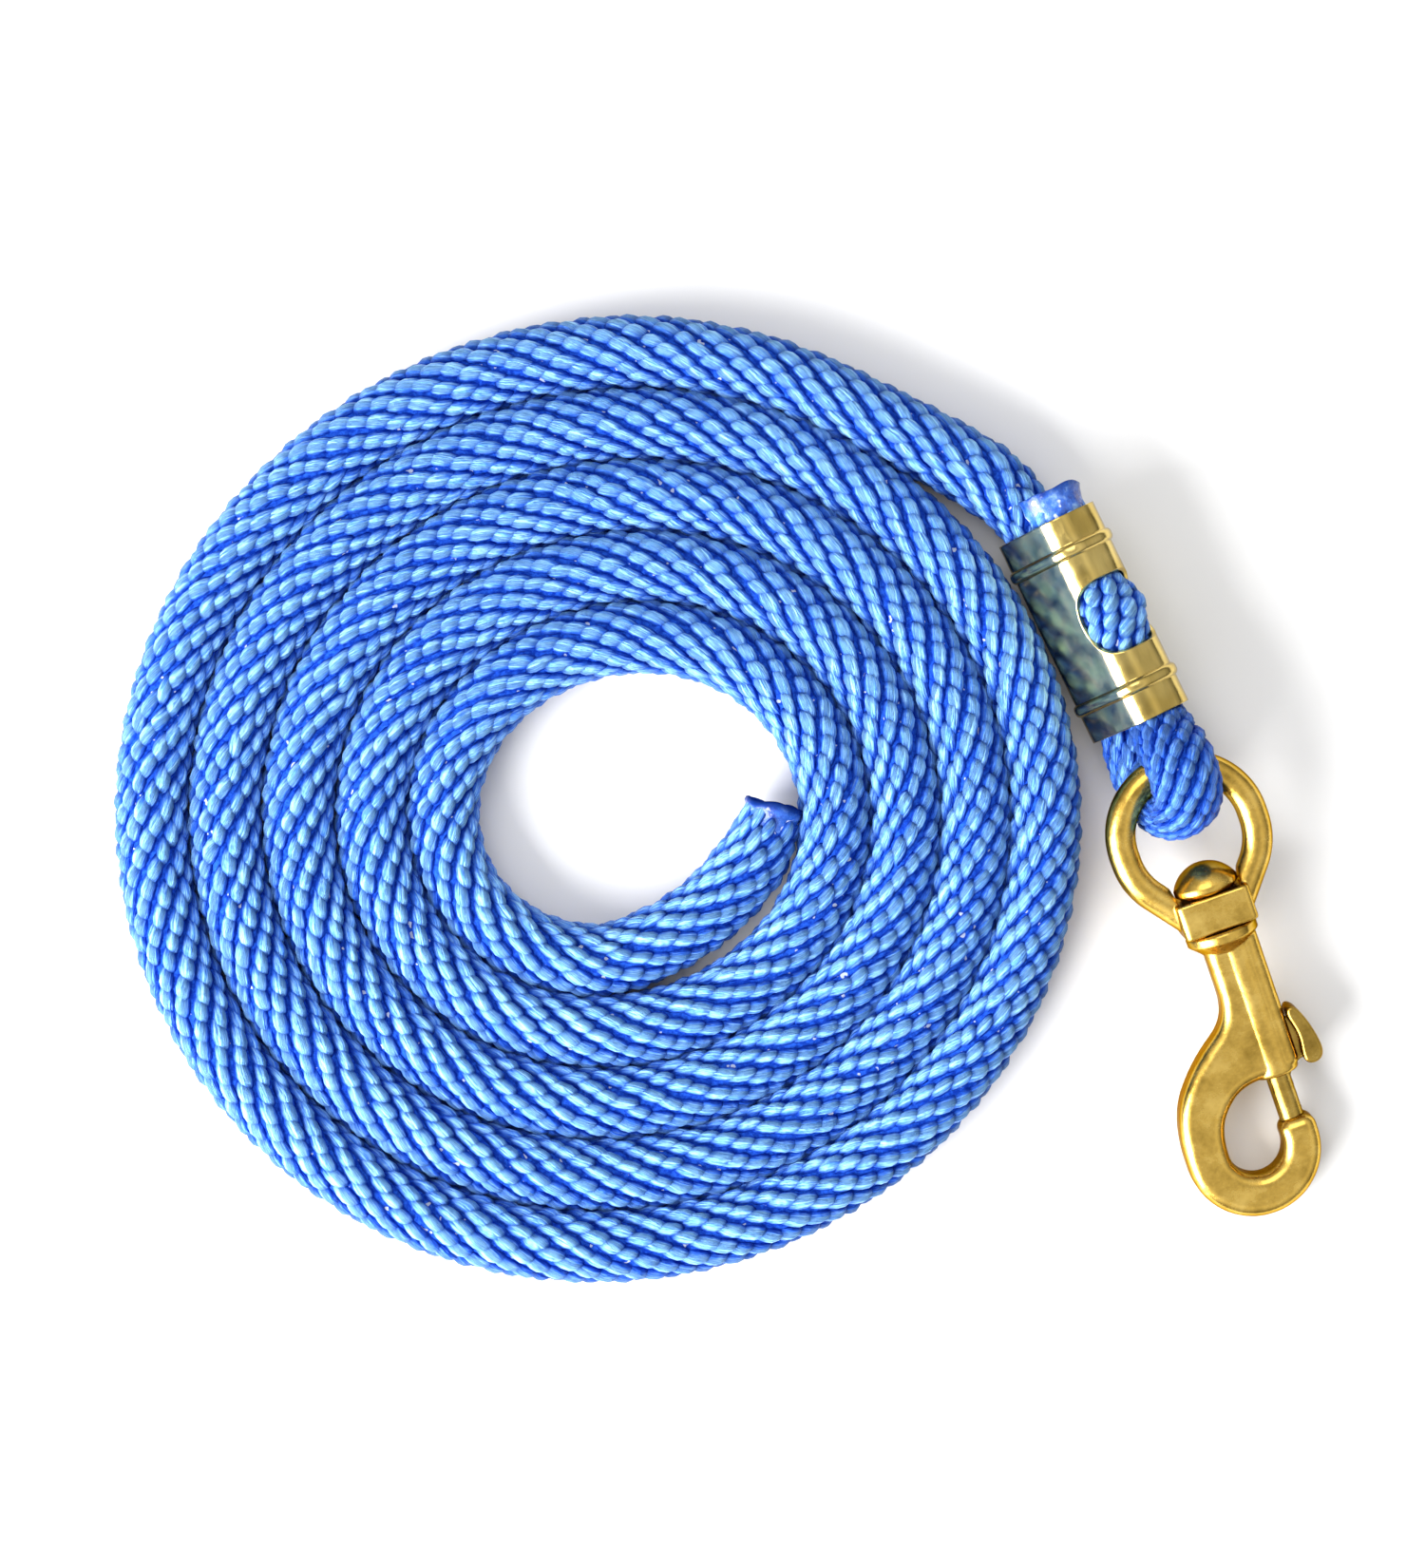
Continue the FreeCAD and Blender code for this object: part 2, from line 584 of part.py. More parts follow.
def rope_coil():
    """The coil's outer shape: five turns lying side by side about an open centre."""
    disc = doc.addObject("Part::Cylinder", "coil_disc")
    disc.setExpression("Radius", "Sizes.coil_outer")
    disc.setExpression("Height", "2 * Sizes.rope_radius")
    hole = doc.addObject("Part::Cylinder", "coil_middle")
    hole.setExpression("Radius", "Sizes.coil_hole")
    hole.setExpression("Height", "2 * Sizes.rope_radius")
    hole.setExpression("Placement.Base.x", "Sizes.coil_hole_x - Sizes.coil_x")
    hole.setExpression("Placement.Base.y", "Sizes.coil_hole_y - Sizes.coil_y")
    flat = cut("coil_flat", disc, [hole])
    turns = rounded("coil_turns", flat, size("coil_round"), lambda e: len(e.Vertexes) == 1)
    middle = Vector(PULL.x + size("coil_x"), PULL.y + size("coil_y"))
    finish("rope_coil", turns, Placement(middle, Rotation()))


# The two uncoiled stretches, point by point from the pull point. The loop runs from the upper leg in
# the clamp over the ring's wire and back under it to the lower leg; the lead runs on to the coil.
LOOP_ROUTE = [
    (1.9, 13.05, 2.4), (2.7, 1.2, 16.4), (1.3, -12.9, 8.0), (-1.3, -12.9, -7.4), (-2.8, 0.2, -14.95),
    (-5.0, 13.05, -11.6),
]
LEAD_ROUTE = [
    (-10.4, 67.4, 9.5), (-14.0, 80.5, 9.5), (-31.0, 99.5, 9.5), (-55.0, 123.5, 9.5), (-73.0, 135.5, 9.5),
]


def rope_loop():
    tube("rope_loop", "loop_radius", [PULL + Vector(*p) for p in LOOP_ROUTE])


def rope_lead():
    table = Vector(PULL.x, PULL.y, 0)
    tube("rope_lead", "rope_radius", [table + Vector(*p) for p in LEAD_ROUTE])


# ---------------------------------------------------------------- build, check, export

swivel_eye()
snap_body()
bolt()
spring()
rope_clamp()
rope_in_clamp()
rope_tail()
rope_coil()
rope_loop()
rope_lead()
doc.recompute()

for item in doc.Objects:
    if "Invalid" in item.State or "Error" in item.State:
        raise RuntimeError(f"{item.Label} is {item.State}")
for label, item in parts.items():
    if item.Shape.isNull() or not item.Shape.isValid() or len(item.Shape.Solids) != 1:
        raise RuntimeError(f"{label} has no single valid solid")

os.makedirs("parts", exist_ok=True)
for label, item in parts.items():
    item.Shape.exportStep(f"parts/{label}.step")
    box = item.Shape.optimalBoundingBox(False)
    print(f"{label}: volume {item.Shape.Volume:.0f}, x {box.XMin:.2f} to {box.XMax:.2f},"
          f" y {box.YMin:.2f} to {box.YMax:.2f}, z {box.ZMin:.2f} to {box.ZMax:.2f}")
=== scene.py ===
import json
import math

import bpy
import numpy as np
from mathutils import Matrix, Vector


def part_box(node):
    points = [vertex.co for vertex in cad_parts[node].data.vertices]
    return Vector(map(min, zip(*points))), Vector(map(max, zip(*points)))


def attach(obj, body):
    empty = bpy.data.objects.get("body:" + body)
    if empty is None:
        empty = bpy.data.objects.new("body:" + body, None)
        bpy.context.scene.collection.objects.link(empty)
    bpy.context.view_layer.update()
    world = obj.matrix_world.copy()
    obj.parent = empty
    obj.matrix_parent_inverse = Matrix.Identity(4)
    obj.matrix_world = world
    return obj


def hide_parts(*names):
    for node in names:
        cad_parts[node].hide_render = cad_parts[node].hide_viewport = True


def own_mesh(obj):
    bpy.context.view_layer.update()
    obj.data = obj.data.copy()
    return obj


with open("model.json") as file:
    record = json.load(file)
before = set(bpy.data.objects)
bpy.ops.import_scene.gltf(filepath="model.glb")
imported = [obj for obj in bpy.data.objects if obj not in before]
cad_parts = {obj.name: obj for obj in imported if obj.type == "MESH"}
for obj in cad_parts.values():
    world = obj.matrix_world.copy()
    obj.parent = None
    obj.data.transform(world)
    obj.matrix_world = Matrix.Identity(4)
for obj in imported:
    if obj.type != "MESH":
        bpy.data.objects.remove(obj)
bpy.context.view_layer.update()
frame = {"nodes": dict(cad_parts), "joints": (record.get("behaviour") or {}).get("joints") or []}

# A blue braided lead rope with a brass bolt snap, coiled on a pale floor. Metres, +Z up.

MM = 0.001
joints = {joint["name"]: joint for joint in frame["joints"]}

# Where the rope bears on the ring's wire: routes are measured from it, as in the design.
PULL = Vector(joints["eye_swing"]["pos_m"])


def middle(node):
    """The middle of a CAD node's box at rest."""
    low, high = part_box(node)
    return (Vector(low) + Vector(high)) / 2


# The clamp's own X runs across the two legs of rope in it, Y along them, Z through its broad sides.
CLAMP_YAW = math.radians(6.2)
CLAMP_ROLL = math.radians(62.0)
CLAMP_TURN = Matrix.Rotation(CLAMP_YAW, 3, "Z") @ Matrix.Rotation(-CLAMP_ROLL, 3, "Y")
CLAMP_LENGTH = 54.5 * MM
LEG_OFFSET = 7.1 * MM
# Towards the loop a leg runs on straight past the clamp's mouth. At the other end it is held this far in.
LEG_RUN_OUT = 3 * MM
LEG_HELD = 10 * MM
CLAMP_CENTRE = middle("rope_clamp")


def in_clamp(x, y, z=0.0):
    """A point given in the clamp's own frame, in metres."""
    return CLAMP_CENTRE + CLAMP_TURN @ Vector((x, y, z))


# ---------------------------------------------------------------- rope: route

ROPE_DIAMETER = 19.0 * MM
TAIL_LENGTH = 7.0 * MM

# Millimetres from the pull point. The loop runs over the ring's wire and back under it.
LOOP_ROUTE = [
    (3.0, 1.2, 13.6), (2.2, -10.9, 6.6), (-1.6, -10.9, -6.2), (-4.6, 0.2, -12.6),
]
# x and y from the pull point, z above the floor.
LEAD_ROUTE = [
    (-10.4, 67.4, 9.5), (-14.0, 80.5, 9.5), (-31.0, 99.5, 9.5), (-55.0, 123.5, 9.5), (-73.0, 135.5, 9.5),
]
FREE_END_ROUTE = [
    (-121.5, 3.2, 9.5), (-108.0, 10.2, 9.5), (-99.6, 16.6, 9.5), (-94.4, 24.1, 9.5),
]
COIL_CENTRE = (-131.5, 34.2)
COIL_RADIUS = 121.9
COIL_PITCH = 17.86
COIL_OVAL = 2.5
COIL_OVAL_ANGLE = math.radians(-8.6)
# The outermost turn has slipped a little to the left.
COIL_DRIFT = 1.5
COIL_DRIFT_ANGLE = math.radians(165)
# The slip is strongest at this angle of the first turn, and is gone three turns further in.
COIL_DRIFT_PEAK = 160
COIL_DRIFT_FADE = 3 * 360
# Degrees at which the coil begins and ends, counted from the outside in.
COIL_FIRST = 70.5
COIL_LAST = 265.5 + 4 * 360
COIL_POINTS = 24
# A quadratic spline runs inside the points that it is given.
SPLINE_SHRINK = 0.75 + 0.25 * math.cos(2 * math.pi / COIL_POINTS)
SPLINE_RESOLUTION = 12


def on_floor(point):
    """A point of the flat routes: x and y from the pull point, z from the floor, in millimetres."""
    x, y, z = point
    return Vector((PULL.x + x * MM, PULL.y + y * MM, z * MM))


def coil_points():
    """The coil's turns, from the outside in, each a pitch inside the one before."""
    points = []
    angle = COIL_FIRST
    while angle < COIL_LAST:
        a = math.radians(angle)
        radius = COIL_RADIUS - COIL_PITCH * angle / 360
        radius += COIL_OVAL * math.cos(2 * (a - COIL_OVAL_ANGLE))
        fade = max(0, 1 - abs(angle - COIL_DRIFT_PEAK) / COIL_DRIFT_FADE)
        radius += COIL_DRIFT * math.cos(a - COIL_DRIFT_ANGLE) * fade
        radius /= SPLINE_SHRINK
        x = COIL_CENTRE[0] + radius * math.cos(a)
        y = COIL_CENTRE[1] + radius * math.sin(a)
        points.append(on_floor((x, y, ROPE_DIAMETER / 2 / MM)))
        angle += 360 / COIL_POINTS
    return points


def rope_points():
    """The whole route: tail, upper leg, loop, lower leg, lead, coil and free end."""
    half = CLAMP_LENGTH / 2
    upper_stops = (half + TAIL_LENGTH, half - LEG_HELD, 0, -half, -half - LEG_RUN_OUT)
    lower_stops = (-half - LEG_RUN_OUT, -half, 0, half - LEG_HELD)
    upper = [in_clamp(LEG_OFFSET, y) for y in upper_stops]
    lower = [in_clamp(-LEG_OFFSET, y) for y in lower_stops]
    loop = [PULL + Vector(p) * MM for p in LOOP_ROUTE]
    lead = [on_floor(p) for p in LEAD_ROUTE]
    free_end = [on_floor(p) for p in FREE_END_ROUTE]
    return upper + loop + lower + lead + coil_points() + free_end


def spline_line(name, points):
    """The points along a quadratic NURBS spline, as an array in metres."""
    curve = bpy.data.curves.new(name, "CURVE")
    curve.dimensions = "3D"
    spline = curve.splines.new("NURBS")
    spline.points.add(len(points) - 1)
    for control, point in zip(spline.points, points):
        control.co = (*point, 1.0)
    spline.order_u = 3
    spline.use_endpoint_u = True
    spline.resolution_u = SPLINE_RESOLUTION
    holder = bpy.data.objects.new(name, curve)
    bpy.context.scene.collection.objects.link(holder)
    bpy.context.view_layer.update()
    mesh = bpy.data.meshes.new_from_object(holder)
    line = np.array([v.co[:] for v in mesh.vertices])
    bpy.data.objects.remove(holder)
    bpy.data.meshes.remove(mesh)
    return line


def lengths_along(line):
    """How far along a line each of its points lies."""
    steps = np.linalg.norm(np.diff(line, axis=0), axis=1)
    return np.concatenate([[0.0], np.cumsum(steps)])


def unit(vectors):
    """The vectors, each made one long."""
    return vectors / np.linalg.norm(vectors, axis=-1, keepdims=True)


def smooth(values, width):
    """A running mean, with the ends held."""
    kernel = np.ones(width) / width
    padded = np.pad(values, (width // 2, width - 1 - width // 2), mode="edge")
    return np.convolve(padded, kernel, mode="valid")


# The round section's squeeze, as shares: in the plane of the loop's bend, and at right angles to it.
SQUEEZE_CUT_TAIL = (0.80, 0.86)
SQUEEZE_AT_MOUTH = (0.78, 0.82)
SQUEEZE_IN_CLAMP = (0.725, 0.765)
SQUEEZE_PAST_CLAMP = (0.74, 0.90)
SQUEEZE_IN_LOOP = (0.73, 1.02)
SQUEEZE_FREE = (0.99, 1.0)
SQUEEZE_CUT_END = (0.80, 0.88)
# Distances along the rope over which one squeeze passes into the next: in the open, and at the mouths.
SQUEEZE_STEP = 5 * MM
SQUEEZE_MOUTH = 2 * MM
# Steps of the route over which the section's changes, and the loop's beginning and end, are smoothed.
SECTION_SMOOTHING = 5
LOOP_SMOOTHING = 7
# The section turns from the clamp's slant to the floor's level over this length of the lead.
LEVELLING = 40 * MM

# The tail leg swells out through the clamp's window.
WINDOW_REACH = 10.5 * MM
WINDOW_EDGE = 5.0 * MM
WINDOW_DEPTH = 6.0 * MM
WINDOW_ROUNDNESS = 1.5
WINDOW_PUSH = 3.2 * MM
WINDOW_WIDEN = 0.34


class Route:
    """The rope's centreline at even steps, with a frame that doesn't twist and its squashed section."""

    STEP = 1.0 * MM

    def __init__(self, line):
        along = lengths_along(line)
        self.length = along[-1]
        count = int(self.length / self.STEP) + 1
        self.s = np.linspace(0, self.length, count)
        self.centre = np.stack([np.interp(self.s, along, line[:, k]) for k in range(3)], axis=1)
        self.tangent = unit(np.gradient(self.centre, axis=0))
        self.up = self.carried(np.array([0.0, 0.0, 1.0]))
        self.side = np.cross(self.tangent, self.up)
        self.shape_section()

    def carried(self, last):
        """A normal carried back from the free end without twist."""
        normals = np.zeros_like(self.tangent)
        normal = last
        for k in range(len(self.s) - 1, -1, -1):
            t = self.tangent[k]
            normal = normal - t * normal.dot(t)
            normal = normal / np.linalg.norm(normal)
            normals[k] = normal
        return normals

    def station(self, point):
        """How far along the rope the nearest point to a given one lies."""
        return self.s[np.argmin(np.linalg.norm(self.centre - np.array(point), axis=1))]

    def shape_section(self):
        """The section's squeeze and the directions that it acts in, all along the rope."""
        half = CLAMP_LENGTH / 2
        top = self.station(in_clamp(LEG_OFFSET, half))
        foot = self.station(in_clamp(LEG_OFFSET, -half))
        foot_again = self.station(in_clamp(-LEG_OFFSET, -half))
        top_again = self.station(in_clamp(-LEG_OFFSET, half))
        self.clamped = (top, foot, foot_again, top_again)
        step, mouth = SQUEEZE_STEP, SQUEEZE_MOUTH
        keys = [
            (0.0, *SQUEEZE_CUT_TAIL),
            (top - mouth, *SQUEEZE_AT_MOUTH),
            (top + mouth, *SQUEEZE_IN_CLAMP),
            (foot - mouth, *SQUEEZE_IN_CLAMP),
            (foot + step, *SQUEEZE_PAST_CLAMP),
            (foot + 4 * step, *SQUEEZE_IN_LOOP),
            (foot_again - 4 * step, *SQUEEZE_IN_LOOP),
            (foot_again - step, *SQUEEZE_PAST_CLAMP),
            (foot_again + mouth, *SQUEEZE_IN_CLAMP),
            (top_again - mouth, *SQUEEZE_IN_CLAMP),
            (top_again + 3 * step, *SQUEEZE_FREE),
            (self.length - 3 * step, *SQUEEZE_FREE),
            (self.length, *SQUEEZE_CUT_END),
        ]
        stations, across, through = np.array(keys).T
        self.across = smooth(np.interp(self.s, stations, across), SECTION_SMOOTHING)
        self.through = smooth(np.interp(self.s, stations, through), SECTION_SMOOTHING)
        clamp_normal = np.array(CLAMP_TURN @ Vector((0, 0, 1)))
        turn = np.clip((self.s - top_again) / LEVELLING, 0, 1)[:, None]
        turn = turn * turn * (3 - 2 * turn)
        wanted = clamp_normal * (1 - turn) + np.array([0.0, 0.0, 1.0]) * turn
        wanted = wanted - self.tangent * np.sum(wanted * self.tangent, axis=1, keepdims=True)
        self.through_axis = unit(wanted)
        self.across_axis = np.cross(self.tangent, self.through_axis)
        self.lay_braid(foot, foot_again)

    def lay_braid(self, foot, foot_again):
        """Length as laid along the outside of the loop's bend, by which the braid's rows are spaced."""
        bend = np.linalg.norm(np.gradient(self.tangent, self.s, axis=0), axis=1)
        in_loop = ((self.s > foot) & (self.s < foot_again)).astype(float)
        within = smooth(in_loop, LOOP_SMOOTHING)
        outside = 1 + bend * CROWN_RADIUS * within
        self.laid = np.concatenate([[0.0], np.cumsum((outside[1:] + outside[:-1]) / 2 * np.diff(self.s))])

    def at(self, values, s):
        """Any of the rope's measures at given distances along it."""
        if values.ndim == 1:
            return np.interp(s, self.s, values)
        return np.stack([np.interp(s, self.s, values[:, k]) for k in range(3)], axis=-1)

    def place(self, s, angle, radius):
        """Points of the rope: s along it, angle round it, radius before squeezing."""
        past = np.minimum(s, 0) + np.maximum(s - self.length, 0)
        up, side = self.at(self.up, s), self.at(self.side, s)
        tangent = self.at(self.tangent, s)
        offset = radius[..., None] * (np.cos(angle)[..., None] * up + np.sin(angle)[..., None] * side)
        through_axis, across_axis = self.at(self.through_axis, s), self.at(self.across_axis, s)
        through = np.sum(offset * through_axis, axis=-1) * self.at(self.through, s)
        across = np.sum(offset * across_axis, axis=-1) * self.at(self.across, s)
        point = self.at(self.centre, s) + past[..., None] * tangent
        point = point + through[..., None] * through_axis + across[..., None] * across_axis
        return self.bulged(point, s)

    def stretch(self, s, angle):
        """How much longer the surface is than the centreline: more than 1 on the outside of a bend."""
        radius = np.full(s.shape, CROWN_RADIUS)
        ahead = self.place(s + STRETCH_SPAN / 2, angle, radius)
        behind = self.place(s - STRETCH_SPAN / 2, angle, radius)
        return np.clip(np.linalg.norm(ahead - behind, axis=-1) / STRETCH_SPAN, *STRETCH_RANGE)

    def bulged(self, point, s):
        """The tail leg swells out through the clamp's window."""
        local = (point - np.array(CLAMP_CENTRE)) @ np.array(CLAMP_TURN)
        reach = np.clip(np.abs(local[..., 1]) / WINDOW_REACH, 0, 1)
        swell = np.cos(reach * math.pi / 2) ** WINDOW_ROUNDNESS * (s < self.clamped[1])
        swell = swell * np.clip((local[..., 0] - WINDOW_EDGE) / WINDOW_DEPTH, 0, 1)
        push = WINDOW_PUSH * swell
        widen = WINDOW_WIDEN * swell * local[..., 2]
        point = point + push[..., None] * np.array(CLAMP_TURN @ Vector((1, 0, 0)))
        return point + widen[..., None] * np.array(CLAMP_TURN @ Vector((0, 0, 1)))


# ---------------------------------------------------------------- rope: braid

# The stitches stand on a skewed lattice that closes after 16 steps one way and 9 back the other.
CROWN_RADIUS = 9.45 * MM
LATTICE_STEPS = 16
LATTICE_BACK = 9
STITCH_PITCH = 7.38 * MM
STITCH_RISE = STITCH_PITCH * LATTICE_BACK / LATTICE_STEPS
STITCH_LEAN = -1.49 * MM
STITCH_SPREAD = (2 * math.pi * CROWN_RADIUS + LATTICE_BACK * STITCH_LEAN) / LATTICE_STEPS
STITCH_TILT = math.radians(27)
# In the clamp's window and round the loop the stitches are pulled flatter: more tilted and wider. Round the
# loop they are also painted darker, as painted shade.
LOOP_TILT = math.radians(13)
WINDOW_TILT = math.radians(20)
CLAMPED_WIDER = 0.2
LOOP_PAINTED_SHADE = 0.3
STITCH_HALF = 4.7 * MM
STITCH_WIDTH = 2.3 * MM
# The ends of a stitch are cut askew, where its neighbours cross it.
STITCH_SKEW = -0.25
STITCH_HEIGHT = 2.3 * MM
# A stitch dives at both ends, and its leading end lies over the next one's trailing end.
STITCH_DIP = 1.0 * MM
STITCH_LIFT = 0.9 * MM
# Its outline along its length: the first exponent keeps its middle plump, the second makes its ends blunt.
STITCH_TAPER = 2.6
STITCH_ROUNDNESS = 0.45
# A stitch isn't quite symmetric: it is fuller towards its leading end.
STITCH_FULLER = 0.12
# How much the stitches differ: place in metres, tilt in radians, sizes as shares.
STITCH_STRAY_ALONG = 0.16 * MM
STITCH_STRAY_ACROSS = 0.14 * MM
STITCH_STRAY_TILT = math.radians(5.5)
STITCH_STRAY_SIZE = 0.08
STITCH_STRAY_HEIGHT = 0.07
# Rows laid past the free end, so that none is missing where the lattice leans.
SPARE_ROWS = 6
# No stitch is centred nearer to an end than this, nor reaches past the cut.
TAIL_BARE = 5 * MM
END_BARE = 3.8 * MM
TAIL_CUT = 0.8 * MM
END_CUT = 0.5 * MM
# The surface's stretch at a bend is measured over this length, and held in this range.
STRETCH_SPAN = 2 * MM
STRETCH_RANGE = (0.75, 2.2)
CORE_RADIUS = 7.4 * MM
CORE_SIDES = 18
CORE_STEP = 3.0 * MM
CORE_INSET = 3.0 * MM
# Stitches on the rope's flanks are painted darker as painted shade, down to this share of the top's. The
# shade is gone at this rise above the rope's middle, as a share of its radius.
SIDE_SHADED_SHARE = 0.6
SIDE_RISE = 0.6
# Nothing of the rope lies lower than this.
FLOOR_CLEARANCE = 0.05 * MM
# Millimetres that the fibres' pattern spreads over for each radian round a stitch.
STRAND_SPREAD = 2.2
# The core says that it is no stitch by a tone below 0.
CORE_TONE = -1.0


def stitch_template():
    """One stitch: rings of points along it, with its share of length, width and height, and its faces."""
    rings = np.array([-0.93, -0.72, -0.42, 0.0, 0.42, 0.72, 0.93])
    around = np.radians([0, 38, 76, 122, 180, 238, 284, 322])
    count = len(around)
    plump = (1 - np.abs(rings) ** STITCH_TAPER) ** STITCH_ROUNDNESS * (1 + STITCH_FULLER * rings)
    u = np.repeat(rings, count)
    v = np.outer(plump, np.sin(around)).ravel()
    w = np.outer(plump, np.cos(around)).ravel()
    turn = np.tile(around, len(rings))
    u = np.concatenate([u, [-1.0, 1.0]])
    v = np.concatenate([v, [0.0, 0.0]])
    w = np.concatenate([w, [0.0, 0.0]])
    turn = np.concatenate([turn, [0.0, 0.0]])
    quads, fans = [], []
    for ring in range(len(rings) - 1):
        for k in range(count):
            a = ring * count + k
            b = ring * count + (k + 1) % count
            quads.append((a, a + count, b + count, b))
    first, last = len(u) - 2, len(u) - 1
    top_ring = (len(rings) - 1) * count
    for k in range(count):
        nxt = (k + 1) % count
        fans.append((first, k, nxt))
        fans.append((last, top_ring + nxt, top_ring + k))
    return u, v, w, turn, np.array(quads), np.array(fans)


def braid(route, random):
    """All the stitches: points, quads, triangles, and each point's place in the braid and its height there,
    lowered as painted shade on the flanks and round the loop.
    """
    u, v, w, turn, quads, fans = stitch_template()
    rows = int(route.laid[-1] / STITCH_PITCH) + SPARE_ROWS
    i, j = np.meshgrid(np.arange(LATTICE_STEPS), np.arange(-LATTICE_BACK, rows), indexing="ij")
    i, j = i.ravel(), j.ravel()
    laid = i * STITCH_RISE + j * STITCH_PITCH
    s = np.interp(laid, route.laid, route.s, left=-1, right=route.length + 1)
    x = i * STITCH_SPREAD + j * STITCH_LEAN
    inside = (s > TAIL_BARE) & (s < route.length - END_BARE)
    s, x = s[inside], x[inside]
    count = len(s)
    s = s + random.normal(0, STITCH_STRAY_ALONG, count)
    x = x + random.normal(0, STITCH_STRAY_ACROSS, count)
    tilt = STITCH_TILT + random.normal(0, STITCH_STRAY_TILT, count)
    in_tail_leg = s < route.clamped[1]
    in_loop = (s > route.clamped[1]) & (s < route.clamped[2])
    tilt = tilt + LOOP_TILT * (s < route.clamped[2]) + WINDOW_TILT * in_tail_leg
    stretch = route.stretch(s, x / CROWN_RADIUS)
    half = STITCH_HALF * (1 + random.normal(0, STITCH_STRAY_SIZE, count))
    width = STITCH_WIDTH * (1 + random.normal(0, STITCH_STRAY_SIZE, count))
    width = width * (1 + CLAMPED_WIDER * in_tail_leg)
    height = STITCH_HEIGHT * (1 + random.normal(0, STITCH_STRAY_HEIGHT, count))
    tone = random.random(count)

    sideways = v[None, :] * width[:, None]
    along = u[None, :] * half[:, None] + STITCH_SKEW * sideways
    dip = STITCH_DIP * u ** 2 - STITCH_LIFT * u
    middle_radius = CROWN_RADIUS - height
    radius = middle_radius[:, None] - dip[None, :] + w[None, :] * height[:, None]
    lean_sin, lean_cos = np.sin(tilt)[:, None], np.cos(tilt)[:, None]
    across = x[:, None] + along * lean_sin + sideways * lean_cos
    station = s[:, None] + (along * lean_cos - sideways * lean_sin) / stretch[:, None]
    station = np.clip(station, TAIL_CUT, route.length - END_CUT)
    points = route.place(station, across / CROWN_RADIUS, radius)
    points[..., 2] = np.maximum(points[..., 2], FLOOR_CLEARANCE)
    strand = np.stack([
        along / MM,
        np.broadcast_to(turn[None, :] * STRAND_SPREAD, along.shape),
        np.broadcast_to(tone[:, None], along.shape),
    ], axis=-1)
    starts = (np.arange(count) * len(u))[:, None, None]
    all_quads = (quads[None] + starts).reshape(-1, 4)
    all_fans = (fans[None] + starts).reshape(-1, 3)
    crown = np.clip((radius - CORE_RADIUS) / (CROWN_RADIUS - CORE_RADIUS), 0, 1)
    # Painted shade: the crown's share drops on the rope's flanks, which the material paints darker.
    rise = (points[..., 2] - route.at(route.centre, station)[..., 2]) / CROWN_RADIUS
    crown = crown * (SIDE_SHADED_SHARE + (1 - SIDE_SHADED_SHARE) * np.clip(rise / SIDE_RISE, 0, 1))
    # Painted shade: round the loop the crown's share drops further, and the stitches are painted darker.
    crown = crown * (1 - LOOP_PAINTED_SHADE * in_loop)[:, None]
    return points.reshape(-1, 3), all_quads, all_fans, strand.reshape(-1, 3), crown.ravel()


def closed_tube(points, sides):
    """Closes rings of points into a tube: the points with two end middles, the quads and the fans."""
    rings = len(points) // sides
    quads, fans = [], []
    for ring in range(rings - 1):
        for k in range(sides):
            here = ring * sides + k
            beside = ring * sides + (k + 1) % sides
            quads.append((here, beside, beside + sides, here + sides))
    ends = np.array([points[:sides].mean(axis=0), points[-sides:].mean(axis=0)])
    first, last = len(points), len(points) + 1
    top_ring = (rings - 1) * sides
    for k in range(sides):
        nxt = (k + 1) % sides
        fans.append((first, nxt, k))
        fans.append((last, top_ring + k, top_ring + nxt))
    return np.concatenate([points, ends]), np.array(quads), np.array(fans)


def core(route):
    """The rope's inner body, which closes the gaps between the stitches."""
    stations = np.linspace(CORE_INSET, route.length - CORE_INSET, int(route.length / CORE_STEP))
    angles = np.linspace(0, 2 * math.pi, CORE_SIDES, endpoint=False)
    s, a = np.meshgrid(stations, angles, indexing="ij")
    points = route.place(s, a, np.full(s.shape, CORE_RADIUS)).reshape(-1, 3)
    return closed_tube(points, CORE_SIDES)


def mesh_object(name, points, quads, fans, material, strand=None, crown=None):
    """A smooth mesh piece, with what its material reads from its points."""
    mesh = bpy.data.meshes.new(name)
    faces = [q.tolist() for q in quads] + [t.tolist() for t in fans]
    mesh.from_pydata(points.tolist(), [], faces)
    mesh.polygons.foreach_set("use_smooth", [True] * len(mesh.polygons))
    if strand is not None:
        layer = mesh.attributes.new("strand", "FLOAT_VECTOR", "POINT")
        layer.data.foreach_set("vector", strand.astype(np.float32).ravel())
    if crown is not None:
        layer = mesh.attributes.new("crown", "FLOAT", "POINT")
        layer.data.foreach_set("value", crown.astype(np.float32))
    mesh.materials.append(material)
    mesh.update()
    item = bpy.data.objects.new(name, mesh)
    bpy.context.scene.collection.objects.link(item)
    return item


# ---------------------------------------------------------------- materials


